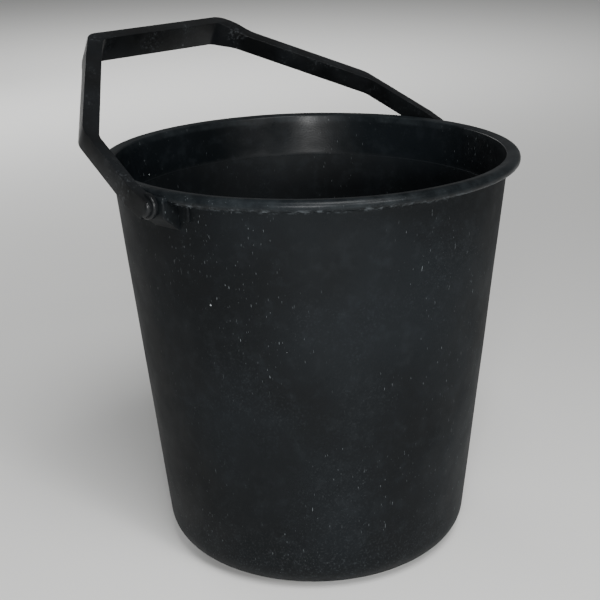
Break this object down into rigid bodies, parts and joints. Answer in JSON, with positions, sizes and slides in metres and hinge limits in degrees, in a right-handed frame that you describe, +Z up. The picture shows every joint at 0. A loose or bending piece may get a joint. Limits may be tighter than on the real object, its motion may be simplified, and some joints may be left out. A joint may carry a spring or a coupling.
{
  "type": "builder's bucket",
  "caption": "Tapered black plastic mortar bucket with a rolled rim, lugs under the rim and a swinging hexagonal bail handle.",
  "frame": {"origin": "centre of the ring the bucket stands on, at floor level", "axes": "+Z up along the bucket's axis; X along the handle's hinge; at rest the handle leans towards +Y"},
  "size_m": [0.332, 0.3261, 0.3869],
  "materials": {
    "tub_plastic": "semi-matt moulded recycled polyethylene, blue-black, with fine scratches and specks of dry mortar",
    "handle_plastic": "satin moulded polypropylene, black, slightly glossier than the tub"
  },
  "bodies": {
    "tub": {"tub": "tub_plastic"},
    "handle": {"bail_handle": "handle_plastic"}
  },
  "joints": [
    {"name": "handle_swing", "type": "hinge", "parent": "tub", "child": "handle", "pos_m": [0, 0, 0.295], "axis": [1, 0, 0], "range_deg": [-63.5, 190.5]}
  ]
}
